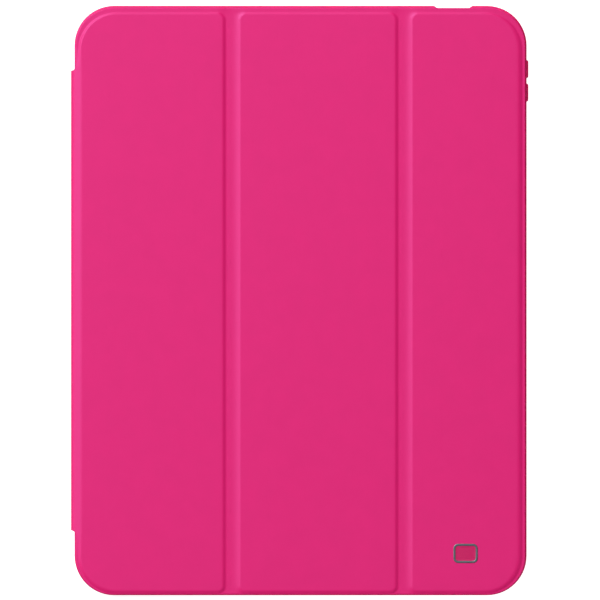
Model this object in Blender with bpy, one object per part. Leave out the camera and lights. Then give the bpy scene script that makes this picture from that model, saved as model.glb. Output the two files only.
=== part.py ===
"""Folio case for a 13 inch tablet: a moulded back tray with a soft cover in three padded panels.

The case lies on its back with the cover closed: +Z comes out of the cover, +Y points to the
case's top edge and +X to its free edge, so the spine runs along -X. Metres.
"""
from math import ceil, pi, radians, sin, tan

import bmesh
import bpy
from mathutils import Matrix, Vector

MM = 0.001
GAP = 0.3 * MM                   # between pieces that touch on the real case

# Tablet that the case is made for
TABLET_WIDTH = 214.9 * MM
TABLET_LENGTH = 280.6 * MM
TABLET_THICKNESS = 6.1 * MM
TABLET_CORNER = 17.8 * MM
TABLET_CLEARANCE = 0.1 * MM      # on each side of the tablet

# Moulded tray
TRAY_WIDTH = 219.2 * MM
TRAY_LENGTH = 285.8 * MM
TRAY_CORNER = 19.2 * MM
TRAY_BACK = 1.5 * MM
TRAY_BACK_ROUND = 2.5 * MM
TRAY_RIM_ROUND = 0.7 * MM
LIP_HEIGHT = 1.0 * MM
LIP_OVERHANG = 1.0 * MM

# Side features of the tray, measured from its centre
CAMERA_SIDE = 36.0 * MM
CAMERA_CORNER = 11.0 * MM
CAMERA_INSET = 27.0 * MM         # from the free edge and from the top edge to the hole's centre
SIDE_HOLE_HEIGHT = 5.8 * MM
PORT_WIDTH = 13.4 * MM
PORT_CORNER = 1.0 * MM
KEY_X = 74.0 * MM
KEY_MOUTH = 18.8 * MM
KEY_FLOOR = 14.6 * MM
KEY_DEPTH = 1.2 * MM
KEY_SLOT = 13.6 * MM
SPEAKER_X = 62.0 * MM
TOP_SPEAKER_X = 34.0 * MM
SPEAKER_WIDTH = 26.0 * MM
SPEAKER_HEIGHT = 2.6 * MM
SPEAKER_CORNER = 1.2 * MM
STYLUS_LOW = 1.0 * MM
STYLUS_HIGH = 80.0 * MM
STYLUS_DEPTH = 0.25 * MM
STYLUS_HEIGHT = 5.4 * MM
STYLUS_CORNER = 1.0 * MM

# Volume buttons
BUTTON_LENGTH = 8.8 * MM
BUTTON_HEIGHT = 4.0 * MM
BUTTON_PROUD = 0.9 * MM
BUTTON_THICKNESS = 2.3 * MM
BUTTON_ROUND = 0.8 * MM
VOLUME_UP_Y = 112.3 * MM
VOLUME_DOWN_Y = 100.9 * MM

# Soft cover
SKIN = 0.7 * MM
LINING = 0.4 * MM
BOARD = 0.8 * MM
PAD_RAISE = 1.1 * MM             # pads above the grooves and the flat border
PAD_ROUND = 1.05 * MM
PAD_WALL = 0.9 * MM              # pad edge to the pocket that holds the board
COVER_CORNER = 18.4 * MM
COVER_LEFT = -109.0 * MM
COVER_RIGHT = 108.9 * MM
COVER_TOP = 141.8 * MM
COVER_BOTTOM = -142.5 * MM
PAD_TOP = 139.3 * MM
PAD_BOTTOM = -141.8 * MM
PADS = {                         # left and right edge of each pad
    "panel_1": (-107.2 * MM, -36.9 * MM),
    "panel_2": (-29.7 * MM, 46.7 * MM),
    "panel_3": (53.7 * MM, 107.0 * MM),
}
PAD_OUTER_CORNER = 18.0 * MM
PAD_FOLD_CORNER = 3.5 * MM

# Spine and the flap that is bonded to the back
SPINE_LENGTH = 223.0 * MM
SPINE_NOTCH = 1.8 * MM
FLAP_WIDTH = 31.0 * MM
FLAP_SKIN = 0.6 * MM
FLAP_CORNER = 4.0 * MM

# Magnets and badge
MAGNET_LENGTH = 20.0 * MM
MAGNET_WIDTH = 6.0 * MM
MAGNET_THICKNESS = 0.8 * MM
MAGNET_ROWS = (-96.0 * MM, -34.0 * MM, 34.0 * MM, 96.0 * MM)
MAGNET_INSET = 6.5 * MM          # pad edge to the magnets' centre line
SLEEP_MAGNET_Y = 66.0 * MM
SLEEP_MAGNET_RADIUS = 5.0 * MM
BADGE_X = 79.95 * MM
BADGE_Y = -122.5 * MM
BADGE_WIDTH = 11.9 * MM
BADGE_HEIGHT = 9.4 * MM
BADGE_CORNER = 2.4 * MM
BADGE_THICKNESS = 0.4 * MM
BADGE_RECESS = 0.4 * MM
BADGE_RIM = 1.1 * MM
BADGE_FIELD_DEPTH = 0.15 * MM

# Levels above the table
CAVITY_TOP = TRAY_BACK + TABLET_THICKNESS + 2 * TABLET_CLEARANCE
TRAY_TOP = CAVITY_TOP + LIP_HEIGHT
LINING_LOW = TRAY_TOP + GAP
SKIN_LOW = LINING_LOW + LINING + GAP
GROOVE_TOP = SKIN_LOW + SKIN
PANEL_TOP = GROOVE_TOP + PAD_RAISE
SIDE_HOLE_Z = (TRAY_BACK + CAVITY_TOP) / 2

# Places across the case
SPINE_THICKNESS = SKIN + GAP + LINING
SPINE_OUT = TRAY_WIDTH / 2 + GAP + SPINE_THICKNESS
CENTRE_X = (SPINE_OUT - TRAY_WIDTH / 2 - BUTTON_PROUD) / 2   # centres the whole case on x = 0
FOLD_1_X = (PADS["panel_1"][1] + PADS["panel_2"][0]) / 2
FOLD_2_X = (PADS["panel_2"][1] + PADS["panel_3"][0]) / 2
BACK_HINGE_Z = -2 * GAP          # leaves the badge clear of the back when the cover is behind

PINK = (0.73, 0.030, 0.190, 1.0)
PINK_TRAY = (0.66, 0.026, 0.150, 1.0)
PINK_LINING = (0.55, 0.035, 0.150, 1.0)
GREY_BOARD = (0.35, 0.34, 0.33, 1.0)
NICKEL = (0.60, 0.58, 0.55, 1.0)
GUNMETAL = (0.12, 0.13, 0.14, 1.0)

UPRIGHT = Matrix.Identity(4)
FACING_X = Matrix(((0, 0, 1, 0), (1, 0, 0, 0), (0, 1, 0, 0), (0, 0, 0, 1)))
FACING_Y = Matrix(((-1, 0, 0, 0), (0, 0, 1, 0), (0, 1, 0, 0), (0, 0, 0, 1)))

for old in list(bpy.data.objects):
    bpy.data.objects.remove(old, do_unlink=True)

PARTS = bpy.data.collections.new("tablet_case")
CUTTERS = bpy.data.collections.new("cutters")
bpy.context.scene.collection.children.link(PARTS)
bpy.context.scene.collection.children.link(CUTTERS)


def material(name, colour, roughness, metallic=0.0):
    """A Principled material."""
    made = bpy.data.materials.new(name)
    made.use_nodes = True
    made.diffuse_color = colour
    shader = made.node_tree.nodes["Principled BSDF"]
    shader.inputs["Base Color"].default_value = colour
    shader.inputs["Roughness"].default_value = roughness
    shader.inputs["Metallic"].default_value = metallic
    return made


def arc_steps(radius):
    """Straight pieces in a quarter turn, more on a larger radius."""
    return max(3, min(9, ceil(1.5 * (radius / MM) ** 0.6)))


def rounded(corners):
    """Points of a closed outline whose corners are (x, y, radius), each turned into an arc."""
    points = []
    for index, (x, y, radius) in enumerate(corners):
        corner = Vector((x, y))
        before = (Vector(corners[index - 1][:2]) - corner).normalized()
        after = (Vector(corners[(index + 1) % len(corners)][:2]) - corner).normalized()
        if radius == 0:
            points.append(corner)
            continue
        inside = before.angle(after)
        centre = corner + (before + after).normalized() * radius / sin(inside / 2)
        start = corner + before * radius / tan(inside / 2) - centre
        turn = pi - inside
        if before.cross(after) > 0:
            turn = -turn
        steps = arc_steps(radius)
        for step in range(steps + 1):
            points.append(centre + Matrix.Rotation(turn * step / steps, 2) @ start)
    return points


def rectangle(x_low, x_high, y_low, y_high, left=0.0, right=0.0):
    """Corners of a rectangle with one radius on its left side and one on its right."""
    return [(x_low, y_low, left), (x_high, y_low, right), (x_high, y_high, right),
            (x_low, y_high, left)]


def centred(x, y, width, height, radius):
    """Corners of a rounded rectangle about its centre."""
    return rectangle(x - width / 2, x + width / 2, y - height / 2, y + height / 2, radius, radius)


def round_rim(shape, level, radius, segments):
    """Round the edges that lie on one end of an extruded shape."""
    rim = [edge for edge in shape.edges
           if all(abs(vertex.co.z - level) < GAP / 100 for vertex in edge.verts)]
    bmesh.ops.bevel(shape, geom=rim, offset=radius, offset_type="OFFSET", segments=segments,
                    profile=0.5, affect="EDGES")


def slab(name, corners, low, high, facing=UPRIGHT, round_high=0.0, round_low=0.0, segments=3):
    """An outline extruded from low to high, with either rim rounded, as a mesh object.

    The outline lies in XY and is extruded along Z, or in YZ along X for FACING_X, or in
    XZ (with x mirrored) along Y for FACING_Y.
    """
    outline = bpy.data.curves.new(name, "CURVE")
    outline.dimensions = "2D"
    outline.fill_mode = "BOTH"
    outline.extrude = (high - low) / 2
    points = rounded(corners)
    spline = outline.splines.new("POLY")
    spline.points.add(len(points) - 1)
    for target, point in zip(spline.points, points):
        target.co = (point.x, point.y, 0.0, 1.0)
    spline.use_cyclic_u = True
    source = bpy.data.objects.new(name + "_outline", outline)
    CUTTERS.objects.link(source)
    bpy.context.view_layer.update()
    evaluated = source.evaluated_get(bpy.context.evaluated_depsgraph_get())
    mesh = bpy.data.meshes.new_from_object(evaluated)
    bpy.data.objects.remove(source, do_unlink=True)

    shape = bmesh.new()
    shape.from_mesh(mesh)
    bmesh.ops.remove_doubles(shape, verts=shape.verts, dist=GAP / 300)
    bmesh.ops.dissolve_limit(shape, angle_limit=radians(0.5), verts=shape.verts, edges=shape.edges)
    bmesh.ops.translate(shape, verts=shape.verts, vec=(0, 0, (low + high) / 2))
    if round_high:
        round_rim(shape, high, round_high, segments)
    if round_low:
        round_rim(shape, low, round_low, segments)
    bmesh.ops.transform(shape, matrix=facing, verts=shape.verts)
    bmesh.ops.recalc_face_normals(shape, faces=shape.faces)
    shape.to_mesh(mesh)
    shape.free()
    made = bpy.data.objects.new(name, mesh)
    made.location.x = CENTRE_X
    return made


def part(made, look):
    """Put an object among the parts, with its material."""
    PARTS.objects.link(made)
    made.data.materials.clear()
    made.data.materials.append(look)
    made.data.shade_smooth()
    made.data.set_sharp_from_angle(angle=radians(35))
    return made


def change(target, tool, operation="DIFFERENCE"):
    """Cut the target with a hidden tool, or join the tool to it."""
    CUTTERS.objects.link(tool)
    tool.hide_render = True
    tool.display_type = "WIRE"
    boolean = target.modifiers.new(tool.name, "BOOLEAN")
    boolean.operation = operation
    boolean.solver = "EXACT"
    boolean.object = tool


def joint_empty(name, x, y, z, parent=None):
    """An empty on a joint's axis, carried by the joint before it."""
    made = bpy.data.objects.new(name, None)
    made.empty_display_size = 10 * MM
    made.location = (x + CENTRE_X, y, z)
    PARTS.objects.link(made)
    if parent:
        hang(made, parent)
    return made


def hang(child, parent):
    """Parent a piece to a joint's empty and leave it where it is."""
    bpy.context.view_layer.update()
    child.parent = parent
    child.matrix_parent_inverse = parent.matrix_world.inverted()


def make_tray(look):
    """The moulded tray that holds the tablet, open at the front, with its side holes."""
    half_width = TRAY_WIDTH / 2
    half_length = TRAY_LENGTH / 2
    cavity_width = TABLET_WIDTH + 2 * TABLET_CLEARANCE
    cavity_length = TABLET_LENGTH + 2 * TABLET_CLEARANCE
    cavity_corner = TABLET_CORNER + TABLET_CLEARANCE
    past = 2 * MM                # how far a cutter runs past the surface it cuts

    tray = part(slab("back_shell", centred(0, 0, TRAY_WIDTH, TRAY_LENGTH, TRAY_CORNER), 0, TRAY_TOP,
                     round_high=TRAY_RIM_ROUND, round_low=TRAY_BACK_ROUND, segments=3), look)
    change(tray, slab("cut_tablet", centred(0, 0, cavity_width, cavity_length, cavity_corner),
                      TRAY_BACK, CAVITY_TOP))
    change(tray, slab("cut_mouth",
                      centred(0, 0, cavity_width - 2 * LIP_OVERHANG,
                              cavity_length - 2 * LIP_OVERHANG, cavity_corner - LIP_OVERHANG),
                      CAVITY_TOP - LIP_HEIGHT, TRAY_TOP + past))
    change(tray, slab("cut_camera",
                      centred(half_width - CAMERA_INSET, half_length - CAMERA_INSET,
                              CAMERA_SIDE, CAMERA_SIDE, CAMERA_CORNER), -past, TRAY_BACK + past))
    change(tray, slab("cut_key_notch",
                      [(KEY_X - KEY_FLOOR / 2, half_length - KEY_DEPTH, 0),
                       (KEY_X + KEY_FLOOR / 2, half_length - KEY_DEPTH, 0),
                       (KEY_X + KEY_MOUTH / 2, half_length, 0),
                       (KEY_X + KEY_MOUTH / 2, half_length + past, 0),
                       (KEY_X - KEY_MOUTH / 2, half_length + past, 0),
                       (KEY_X - KEY_MOUTH / 2, half_length, 0)], -past, TRAY_TOP + past))

    wall_in = cavity_length / 2 - past
    wall_out = half_length + past
    for name, x, width, height, corner, side in (
            ("cut_key", KEY_X, KEY_SLOT, SIDE_HOLE_HEIGHT, PORT_CORNER, 1),
            ("cut_port", 0.0, PORT_WIDTH, SIDE_HOLE_HEIGHT, PORT_CORNER, -1),
            ("cut_speaker_left", -SPEAKER_X, SPEAKER_WIDTH, SPEAKER_HEIGHT, SPEAKER_CORNER, -1),
            ("cut_speaker_right", SPEAKER_X, SPEAKER_WIDTH, SPEAKER_HEIGHT, SPEAKER_CORNER, -1),
            ("cut_top_speaker_left", -SPEAKER_X, SPEAKER_WIDTH, SPEAKER_HEIGHT, SPEAKER_CORNER, 1),
            ("cut_top_speaker_right", TOP_SPEAKER_X, SPEAKER_WIDTH, SPEAKER_HEIGHT,
             SPEAKER_CORNER, 1)):
        low, high = sorted((side * wall_in, side * wall_out))
        change(tray, slab(name, centred(-x, SIDE_HOLE_Z, width, height, corner), low, high, FACING_Y))

    for name, y in (("cut_volume_up", VOLUME_UP_Y), ("cut_volume_down", VOLUME_DOWN_Y)):
        change(tray, slab(name, centred(y, SIDE_HOLE_Z, BUTTON_LENGTH + 2 * GAP,
                                        BUTTON_HEIGHT + 2 * GAP, BUTTON_HEIGHT / 2),
                          cavity_width / 2 - past, half_width + past, FACING_X))
    change(tray, slab("cut_stylus_relief",
                      rectangle(STYLUS_LOW, STYLUS_HIGH, SIDE_HOLE_Z - STYLUS_HEIGHT / 2,
                                SIDE_HOLE_Z + STYLUS_HEIGHT / 2, STYLUS_CORNER, STYLUS_CORNER),
                      half_width - STYLUS_DEPTH, half_width + past, FACING_X))
    change(tray, slab("cut_flap_seat",
                      rectangle(-half_width - past, -half_width + FLAP_WIDTH + GAP,
                                -SPINE_LENGTH / 2 - GAP, SPINE_LENGTH / 2 + GAP, 0, FLAP_CORNER),
                      -past, FLAP_SKIN + GAP))


def make_flap(look):
    """The end of the skin, bonded into a seat in the tray's back."""
    flap = rectangle(-TRAY_WIDTH / 2, -TRAY_WIDTH / 2 + FLAP_WIDTH,
                     -SPINE_LENGTH / 2, SPINE_LENGTH / 2, 0, FLAP_CORNER)
    part(slab("back_flap_skin", flap, 0, FLAP_SKIN), look)


def make_buttons(look):
    """The two volume buttons, each sliding inwards in its window."""
    outer = TRAY_WIDTH / 2 + BUTTON_PROUD
    for name, y in (("volume_up", VOLUME_UP_Y), ("volume_down", VOLUME_DOWN_Y)):
        button = part(slab(name + "_button",
                           centred(y, SIDE_HOLE_Z, BUTTON_LENGTH, BUTTON_HEIGHT,
                                   BUTTON_HEIGHT / 2 - GAP),
                           outer - BUTTON_THICKNESS, outer, FACING_X,
                           round_high=BUTTON_ROUND, segments=3), look)
        hang(button, joint_empty(name + "_slide", outer, y, SIDE_HOLE_Z))


def make_spine(hinge, skin_look, lining_look):
    """The upright strip along the tray's left wall: skin outside, lining inside."""
    top = SKIN_LOW - GAP
    half = SPINE_LENGTH / 2
    skin = part(slab("spine_skin", rectangle(-half, half, 0, top), -SPINE_OUT, -SPINE_OUT + SKIN,
                     FACING_X), skin_look)
    lining = part(slab("spine_lining", rectangle(-half, half, 0, LINING_LOW - GAP),
                       -SPINE_OUT + SKIN + GAP, -SPINE_OUT + SPINE_THICKNESS, FACING_X), lining_look)
    for piece in (skin, lining):
        hang(piece, hinge)


def cover_outline(panel):
    """Corners of the cover sheet's part that belongs to a panel."""
    if panel == "panel_1":
        edge = FOLD_1_X - GAP / 2
        half = SPINE_LENGTH / 2
        return [(edge, COVER_BOTTOM, 0), (edge, COVER_TOP, 0), (COVER_LEFT, COVER_TOP, COVER_CORNER),
                (COVER_LEFT, half, SPINE_NOTCH), (-SPINE_OUT, half, 0), (-SPINE_OUT, -half, 0),
                (COVER_LEFT, -half, SPINE_NOTCH), (COVER_LEFT, COVER_BOTTOM, COVER_CORNER)]
    if panel == "panel_2":
        return rectangle(FOLD_1_X + GAP / 2, FOLD_2_X - GAP / 2, COVER_BOTTOM, COVER_TOP)
    return rectangle(FOLD_2_X + GAP / 2, COVER_RIGHT, COVER_BOTTOM, COVER_TOP, 0, COVER_CORNER)


def pad_outline(panel, inset):
    """Corners of a panel's pad, drawn in by an inset on every side."""
    left, right = PADS[panel]
    left_corner = PAD_OUTER_CORNER if panel == "panel_1" else PAD_FOLD_CORNER
    right_corner = PAD_OUTER_CORNER if panel == "panel_3" else PAD_FOLD_CORNER
    return rectangle(left + inset, right - inset, PAD_BOTTOM + inset, PAD_TOP - inset,
                     left_corner - inset, right_corner - inset)


def magnet_places(panel):
    """Centres of a panel's holding magnets."""
    if panel == "panel_1":
        return [(PADS[panel][0] + MAGNET_INSET, y) for y in MAGNET_ROWS]
    if panel == "panel_3":
        return [(PADS[panel][1] - MAGNET_INSET, y) for y in MAGNET_ROWS]
    return []


def make_panel(panel, hinge, looks):
    """A panel's padded skin, the board inside it, its magnets and its lining."""
    skin = part(slab(panel + "_skin", cover_outline(panel), SKIN_LOW, GROOVE_TOP), looks["skin"])
    change(skin, slab(panel + "_pad", pad_outline(panel, 0), SKIN_LOW + GAP, PANEL_TOP,
                      round_high=PAD_ROUND, segments=3), "UNION")
    change(skin, slab(panel + "_pocket", pad_outline(panel, PAD_WALL), SKIN_LOW - MM, PANEL_TOP - SKIN))

    board = part(slab(panel + "_board", pad_outline(panel, PAD_WALL + GAP), SKIN_LOW, SKIN_LOW + BOARD),
                 looks["board"])
    lining_outline = cover_outline(panel)
    if panel == "panel_1":
        lining_outline = rectangle(-SPINE_OUT + SPINE_THICKNESS + GAP, FOLD_1_X - GAP / 2,
                                   COVER_BOTTOM, COVER_TOP, COVER_CORNER, 0)
    lining = part(slab(panel + "_lining", lining_outline, LINING_LOW, LINING_LOW + LINING),
                  looks["lining"])
    pieces = [skin, board, lining]

    for number, (x, y) in enumerate(magnet_places(panel), 1):
        change(board, slab(f"{panel}_magnet_seat_{number}",
                           centred(x, y, MAGNET_WIDTH + 2 * GAP, MAGNET_LENGTH + 2 * GAP, 0),
                           SKIN_LOW - MM, SKIN_LOW + BOARD + MM))
        pieces.append(part(slab(f"{panel}_magnet_{number}",
                                centred(x, y, MAGNET_WIDTH, MAGNET_LENGTH, 0),
                                SKIN_LOW, SKIN_LOW + MAGNET_THICKNESS), looks["magnet"]))
    if panel == "panel_3":
        x = PADS[panel][1] - MAGNET_INSET
        change(board, slab("sleep_magnet_seat",
                           centred(x, SLEEP_MAGNET_Y, 2 * (SLEEP_MAGNET_RADIUS + GAP),
                                   2 * (SLEEP_MAGNET_RADIUS + GAP), SLEEP_MAGNET_RADIUS),
                           SKIN_LOW - MM, SKIN_LOW + BOARD + MM))
        pieces.append(part(slab("sleep_magnet",
                                centred(x, SLEEP_MAGNET_Y, 2 * SLEEP_MAGNET_RADIUS,
                                        2 * SLEEP_MAGNET_RADIUS, SLEEP_MAGNET_RADIUS - GAP),
                                SKIN_LOW, SKIN_LOW + MAGNET_THICKNESS), looks["magnet"]))
        change(skin, slab("badge_seat", centred(BADGE_X, BADGE_Y, BADGE_WIDTH + 2 * GAP,
                                                BADGE_HEIGHT + 2 * GAP, BADGE_CORNER + GAP),
                          PANEL_TOP - BADGE_RECESS, PANEL_TOP + MM))
        pieces.append(make_badge(looks["badge"]))
    for piece in pieces:
        hang(piece, hinge)


def make_badge(look):
    """A plain metal plate with a raised rim, let into the skin."""
    low = PANEL_TOP - BADGE_RECESS + GAP
    high = low + BADGE_THICKNESS
    badge = part(slab("front_badge", centred(BADGE_X, BADGE_Y, BADGE_WIDTH, BADGE_HEIGHT, BADGE_CORNER),
                      low, high), look)
    change(badge, slab("badge_field", centred(BADGE_X, BADGE_Y, BADGE_WIDTH - 2 * BADGE_RIM,
                                              BADGE_HEIGHT - 2 * BADGE_RIM, BADGE_CORNER - BADGE_RIM),
                       high - BADGE_FIELD_DEPTH, high + MM))
    return badge


def main():
    """Build the whole case."""
    tray_look = material("moulded_tray", PINK_TRAY, 0.45)
    looks = {
        "skin": material("pebbled_skin", PINK, 0.50),
        "lining": material("microfibre_lining", PINK_LINING, 0.90),
        "board": material("stiffener_board", GREY_BOARD, 0.70),
        "magnet": material("plated_magnet", NICKEL, 0.30, 1.0),
        "badge": material("gunmetal_badge", GUNMETAL, 0.35, 1.0),
    }
    make_tray(tray_look)
    make_flap(looks["skin"])
    make_buttons(tray_look)

    back_hinge = joint_empty("spine_back_hinge", -SPINE_OUT, 0, BACK_HINGE_Z)
    cover_hinge = joint_empty("cover_hinge", -SPINE_OUT, 0, PANEL_TOP, back_hinge)
    fold_1 = joint_empty("fold_1", FOLD_1_X, 0, GROOVE_TOP, cover_hinge)
    fold_2 = joint_empty("fold_2", FOLD_2_X, 0, GROOVE_TOP, fold_1)
    make_spine(back_hinge, looks["skin"], looks["lining"])
    make_panel("panel_1", cover_hinge, looks)
    make_panel("panel_2", fold_1, looks)
    make_panel("panel_3", fold_2, looks)
    bpy.context.view_layer.update()


main()
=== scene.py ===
"""Looks of the tablet case: fine skin, lining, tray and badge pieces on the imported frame, with
procedural materials, studio light and a camera straight above. Lengths of the case are in
millimetres, and meshes are scaled to metres when they are made. Lights are in metres."""
import math

import bmesh
import bpy
import numpy as np
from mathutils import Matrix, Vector


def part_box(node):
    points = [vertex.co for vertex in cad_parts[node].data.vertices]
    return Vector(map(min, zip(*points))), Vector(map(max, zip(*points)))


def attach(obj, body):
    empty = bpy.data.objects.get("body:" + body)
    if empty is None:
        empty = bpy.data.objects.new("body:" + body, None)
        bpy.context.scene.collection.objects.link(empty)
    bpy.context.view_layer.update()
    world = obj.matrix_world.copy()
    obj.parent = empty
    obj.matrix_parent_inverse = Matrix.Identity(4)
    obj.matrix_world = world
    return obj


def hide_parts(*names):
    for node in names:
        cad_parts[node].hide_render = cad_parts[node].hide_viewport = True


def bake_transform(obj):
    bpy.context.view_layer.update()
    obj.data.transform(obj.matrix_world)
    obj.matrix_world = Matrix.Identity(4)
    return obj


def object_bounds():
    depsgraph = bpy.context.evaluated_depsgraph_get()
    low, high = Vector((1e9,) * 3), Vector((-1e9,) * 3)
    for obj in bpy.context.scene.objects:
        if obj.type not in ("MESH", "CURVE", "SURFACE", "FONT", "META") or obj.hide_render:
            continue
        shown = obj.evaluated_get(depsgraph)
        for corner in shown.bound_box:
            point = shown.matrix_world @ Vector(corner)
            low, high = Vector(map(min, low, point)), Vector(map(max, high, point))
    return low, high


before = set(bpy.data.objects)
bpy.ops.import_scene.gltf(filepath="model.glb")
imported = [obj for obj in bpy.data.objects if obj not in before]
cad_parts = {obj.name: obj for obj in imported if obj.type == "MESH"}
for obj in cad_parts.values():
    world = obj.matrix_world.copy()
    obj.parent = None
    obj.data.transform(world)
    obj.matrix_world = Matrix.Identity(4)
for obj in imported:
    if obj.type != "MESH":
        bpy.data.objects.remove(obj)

MM = 0.001

# Cover
PAD_RAISE = 0.6                 # pads above the grooves and the flat border
PAD_INSET = 1.2                 # pad edge to the stiffener board inside it
PAD_OUTER_CORNER = 18.0
PAD_FOLD_CORNER = 3.5
POCKET_INSET = 0.9              # pad edge to the pocket round the board
POCKET_TOP = 10.9
COVER_CORNER = 18.4
COVER_EDGE_ROUND = 0.35
SKIN_BOTTOM = 9.52
GROOVE_LAP_RIGHT = 0.7          # the panel piece reaches this far past its pad, then the groove starts
GROOVE_LAP_LEFT = 0.4
CROWN = 0.06                    # rise of a pad's middle
CROWN_REACH = 30.0

# Pad edges: how wide each side rounds down and then hollows out
EDGE_RIGHT = (1.4, 1.2)
EDGE_UPPER = (0.75, 0.6)
EDGE_LOWER = (1.7, 0.6)
EDGE_SPINE = (1.0, 0.7)         # panel 1's left side
EDGE_SPINE_STRIP = (0.6, 29.3)  # added to it where the spine strip joins, for one long slope
EDGE_FOLD = (0.9, 4.6)          # the left sides of panels 2 and 3, on a fold
EDGE_FREE = (0.8, -0.3)         # added to the right side of panel 3
DROP_UPPER = 0.25               # how much less the upper side falls than the others
DROP_FREE = 0.2                 # how much more the free edge falls
DROP_STRIP = 3.67               # added at the spine strip, where the piece ends part way down

# Spine, wraps and flap
SHEET = 0.6
TAB_FLARE = 2.3                 # radius of the hollow where the spine strip's ends meet the cover
TOP_WRAP_RADIUS = 3.06
TOP_WRAP_SLOPE = math.radians(14.4)
BACK_WRAP_RADIUS = 2.9
FLAP_CORNER = 4.0

# Lining
LINING_INSET = 0.6
LINING_WRAP_RADIUS = 1.6
LINING_BEND_START = 6.4         # where the spine's lining leaves its flat stretch

# Tray
TRAY_CORNER = 19.2
BACK_ROUND = 2.5
RIM_ROUND = 0.7
BACK_THICKNESS = 1.5
CAVITY_WIDTH = 215.1
CAVITY_LENGTH = 280.8
CAVITY_CORNER = 17.9
CAVITY_TOP = 7.8
LIP_OVERHANG = 1.0
SIDE_HOLE_Z = 4.65
SIDE_HOLE_HEIGHT = 5.8
SIDE_HOLE_REACH = 2.0           # how far a side hole's cutter goes past the wall's inner face
CAMERA_SIDE = 36.0
CAMERA_CORNER = 11.0
CAMERA_INSET = 27.0
PORT_WIDTH = 13.4
PORT_CORNER = 2.2
KEY_SLOT_CORNER = 1.4
KEY_X = 74.0
KEY_SLOT = 13.6
KEY_MOUTH = 18.8
KEY_DEPTH = 1.2
SPEAKER_X = 62.0
TOP_SPEAKER_X = 34.0
SPEAKER_WIDTH = 26.0
SPEAKER_HEIGHT = 2.6
SPEAKER_CORNER = 1.25
BUTTON_GAP = 0.6                # wider and higher than the button
BUTTON_CORNER = 1.7
STYLUS_LOW = 1.0
STYLUS_HIGH = 80.0
STYLUS_HEIGHT = 5.4
STYLUS_DEPTH = 0.25
SEAT_DEPTH = 0.9
SEAT_GAP = 0.3

# Badge
BADGE_CORNER = 2.4
BADGE_RIM = 1.1
BADGE_FIELD_DEPTH = 0.15

# Picture
VIEW_WIDTH = 290.88             # what the camera sees across, at the cover's height
VIEW_CENTRE = (0.12, 0.26)
LENS = 600.0
SENSOR = 36.0

CAMERA_AIM_HEIGHT = 9.0
FLOOR_REACH = 6.0               # metres
FLOOR_LEVEL = -0.0004           # metres

CORNER_STEPS = 14


# ---------------------------------------------------------------- boxes of the CAD nodes

def node_box(name):
    """A node's lowest and highest corner, in millimetres."""
    low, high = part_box(name)
    return np.array(low) / MM, np.array(high) / MM


cad_low, cad_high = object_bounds()
tray_low, tray_high = node_box("back_shell")
tray_centre = (tray_low + tray_high) / 2
skins = {n: node_box(f"panel_{n}_skin") for n in (1, 2, 3)}
boards = {n: node_box(f"panel_{n}_board") for n in (1, 2, 3)}
pads = {n: (boards[n][0][0] - PAD_INSET, boards[n][1][0] + PAD_INSET,
            boards[n][0][1] - PAD_INSET, boards[n][1][1] + PAD_INSET) for n in (1, 2, 3)}
PAD_LEVEL = skins[2][1][2]
GROOVE_TOP = PAD_LEVEL - PAD_RAISE
spine_low, spine_high = node_box("spine_skin")
flap_high = node_box("back_flap_skin")[1]
lining_low, lining_high = node_box("spine_lining")
COVER_LEFT = spine_low[0] + TAB_FLARE
COVER_RIGHT = skins[3][1][0]
COVER_BOTTOM = skins[2][0][1]
COVER_TOP = skins[2][1][1]
TAB_HALF = spine_high[1]
FOLDS = {1: (pads[1][1] + pads[2][0]) / 2, 2: (pads[2][1] + pads[3][0]) / 2}


# ---------------------------------------------------------------- mesh building

def ring(x0, x1, y0, y1, radii, sides):
    """Points and outward normals counter-clockwise round a rectangle. radii are those of the
    corners bottom left, bottom right, top right and top left. sides gives the places of the
    points along each straight side, from 0 to 1, for bottom, right, top and left."""
    corners = (((x0, y0), (1, 1), 180), ((x1, y0), (-1, 1), 270),
               ((x1, y1), (-1, -1), 0), ((x0, y1), (1, -1), 90))
    points = []
    normals = []
    arcs = []
    for ((cx, cy), (sx, sy), start), r in zip(corners, radii):
        arc = []
        for k in range(CORNER_STEPS + 1):
            angle = math.radians(start + 90 * k / CORNER_STEPS)
            n = (math.cos(angle), math.sin(angle))
            arc.append(((cx + sx * r + r * n[0], cy + sy * r + r * n[1]), n))
        arcs.append(arc)
    for k, arc in enumerate(arcs):
        for p, n in arc:
            points.append(p)
            normals.append(n)
        p, n = arc[-1]
        q = arcs[(k + 1) % 4][0][0]
        for t in sides[k]:
            points.append((p[0] + (q[0] - p[0]) * t, p[1] + (q[1] - p[1]) * t))
            normals.append(n)
    return np.array(points), np.array(normals)


def even(count):
    """Places that divide a side evenly."""
    return [(k + 1) / (count + 1) for k in range(count)]


def loft(rings, closed=False):
    """Faces that join rings of equal counts, closed by a face at each end, or end to start."""
    count = len(rings[0])
    total = len(rings)
    faces = []
    for k in range(total if closed else total - 1):
        a = k * count
        b = (k + 1) % total * count
        for i in range(count):
            j = (i + 1) % count
            faces.append((a + i, a + j, b + j, b + i))
    if not closed:
        faces.append(tuple(range(count)))
        faces.append(tuple(range((total - 1) * count, total * count)))
    return np.concatenate(rings), faces


def level_ring(points, z):
    """A flat ring of points at a height."""
    return np.column_stack([points, np.full(len(points), float(z))])


def make_mesh(name, points, faces):
    """A mesh object from points in millimetres, with outward normals."""
    mesh = bpy.data.meshes.new(name)
    mesh.from_pydata([tuple(p) for p in np.asarray(points) * MM], [], faces)
    piece = bpy.data.objects.new(name, mesh)
    bpy.context.scene.collection.objects.link(piece)
    shape = bmesh.new()
    shape.from_mesh(mesh)
    bmesh.ops.recalc_face_normals(shape, faces=shape.faces)
    shape.to_mesh(mesh)
    shape.free()
    return piece


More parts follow.
